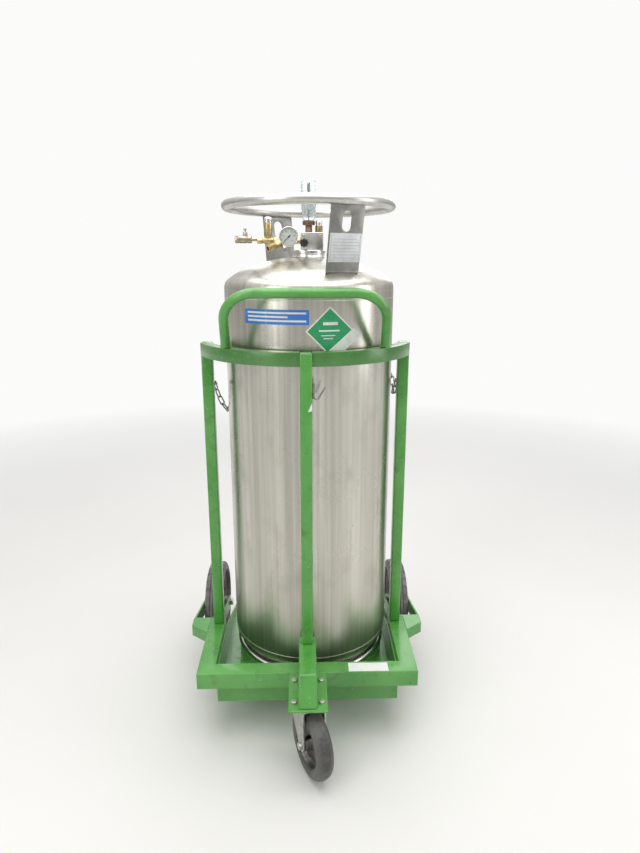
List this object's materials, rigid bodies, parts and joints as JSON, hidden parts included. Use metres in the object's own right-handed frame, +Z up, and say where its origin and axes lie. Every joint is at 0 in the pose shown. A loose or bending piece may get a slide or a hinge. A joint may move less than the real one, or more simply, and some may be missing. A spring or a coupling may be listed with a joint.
{
  "type": "liquid nitrogen dewar",
  "caption": "Tall vacuum-insulated cylinder with a neck manifold, gauges and handling ring, chained into a square-tube steel cart with a push handle, rear wheels and a swivel caster.",
  "frame": {"origin": "on the floor under the middle of the part's box", "axes": "+Z up; -Y towards the push handle and the swivel caster; +X to the right of someone who stands at the handle and looks along +Y"},
  "size_m": [0.7882, 0.9218, 1.645],
  "materials": {
    "green_paint": "gloss enamel",
    "stainless": "brushed",
    "bright_steel": "machined",
    "zinc": "zinc plated",
    "dark_steel": "worn",
    "brass": "machined",
    "bronze": "tarnished",
    "copper": "drawn tube",
    "tread_rubber": "worn",
    "caster_rubber": "worn",
    "black_plastic": "moulded",
    "clear_plastic": "clear",
    "white_plate": "printed sheet"
  },
  "bodies": {
    "cart_and_dewar": {"base_frame": "green_paint", "tray_pan": "green_paint", "left_post": "green_paint", "right_post": "green_paint", "centre_post": "green_paint", "left_band": "green_paint", "right_band": "green_paint", "push_handle": "green_paint", "tongue_tube": "green_paint", "caster_mount_plate": "green_paint", "left_wheel_bracket": "green_paint", "right_wheel_bracket": "green_paint", "caster_bolt_1": "zinc", "caster_bolt_2": "zinc", "caster_bolt_3": "zinc", "caster_bolt_4": "zinc", "caster_top_plate": "zinc", "left_axle": "zinc", "right_axle": "zinc", "restraint_chain": "dark_steel", "left_chain_eye": "dark_steel", "right_chain_eye": "dark_steel", "post_hook": "dark_steel", "outer_vessel": "stainless", "inner_vessel": "stainless", "neck_tube": "stainless", "dip_tube": "stainless", "handling_ring": "stainless", "front_ring_bracket": "stainless", "rear_ring_bracket": "stainless", "foot_ring": "bright_steel", "neck_flange": "bright_steel", "manifold_block": "bright_steel", "pressure_gauge_case": "bright_steel", "vent_valve_bonnet": "bright_steel", "vaporizer_coil": "copper", "data_plate": "white_plate", "contents_gauge_base": "bronze", "sight_tube": "clear_plastic", "gauge_lens": "clear_plastic", "relief_line": "brass", "line_coupling": "dark_steel", "relief_valve": "brass", "rupture_disc_holder": "brass", "liquid_valve_bonnet": "brass", "builder_valve_bonnet": "brass"},
    "left_wheel": {"left_tyre": "tread_rubber", "left_hub": "dark_steel"},
    "right_wheel": {"right_tyre": "tread_rubber", "right_hub": "dark_steel"},
    "caster_swivel": {"caster_fork": "zinc", "caster_axle": "zinc"},
    "caster_wheel": {"caster_tyre": "caster_rubber", "caster_hub": "dark_steel"},
    "vent_knob": {"vent_valve_knob": "black_plastic"},
    "liquid_knob": {"liquid_valve_knob": "black_plastic"},
    "builder_knob": {"builder_valve_knob": "black_plastic"},
    "needle": {"gauge_needle": "black_plastic"},
    "contents_float": {"float_indicator": "dark_steel"}
  },
  "joints": [
    {"name": "left_wheel_spin", "type": "hinge", "parent": "cart_and_dewar", "child": "left_wheel", "pos_m": [-0.339, 0.30846, 0.1524], "axis": [1, 0, 0], "continuous": true},
    {"name": "right_wheel_spin", "type": "hinge", "parent": "cart_and_dewar", "child": "right_wheel", "pos_m": [0.339, 0.30846, 0.1524], "axis": [1, 0, 0], "continuous": true},
    {"name": "caster_swivel_turn", "type": "hinge", "parent": "cart_and_dewar", "child": "caster_swivel", "pos_m": [0, -0.33504, 0.22], "axis": [0, 0, 1], "continuous": true},
    {"name": "caster_wheel_spin", "type": "hinge", "parent": "caster_swivel", "child": "caster_wheel", "pos_m": [0.0122, -0.36245, 0.1016], "axis": [0.9135, 0.4067, 0], "continuous": true},
    {"name": "vent_knob_turn", "type": "hinge", "parent": "cart_and_dewar", "child": "vent_knob", "pos_m": [-0.002, 0.0117, 1.4655], "axis": [0, -1, 0], "range_deg": [0, 900]},
    {"name": "liquid_knob_turn", "type": "hinge", "parent": "cart_and_dewar", "child": "liquid_knob", "pos_m": [0.006, 0.1563, 1.4655], "axis": [0, 1, 0], "range_deg": [0, 900]},
    {"name": "builder_knob_turn", "type": "hinge", "parent": "cart_and_dewar", "child": "builder_knob", "pos_m": [0.038, 0.1563, 1.4655], "axis": [0, 1, 0], "range_deg": [0, 900]},
    {"name": "gauge_needle_sweep", "type": "hinge", "parent": "cart_and_dewar", "child": "needle", "pos_m": [-0.045, -0.0105, 1.481], "axis": [0, -1, 0], "range_deg": [-270, 0], "stiffness_Nm_per_rad": 0.0002},
    {"name": "float_slide", "type": "slide", "parent": "cart_and_dewar", "child": "contents_float", "axis": [0, 0, 1], "range_m": [-0.07, 0]}
  ]
}
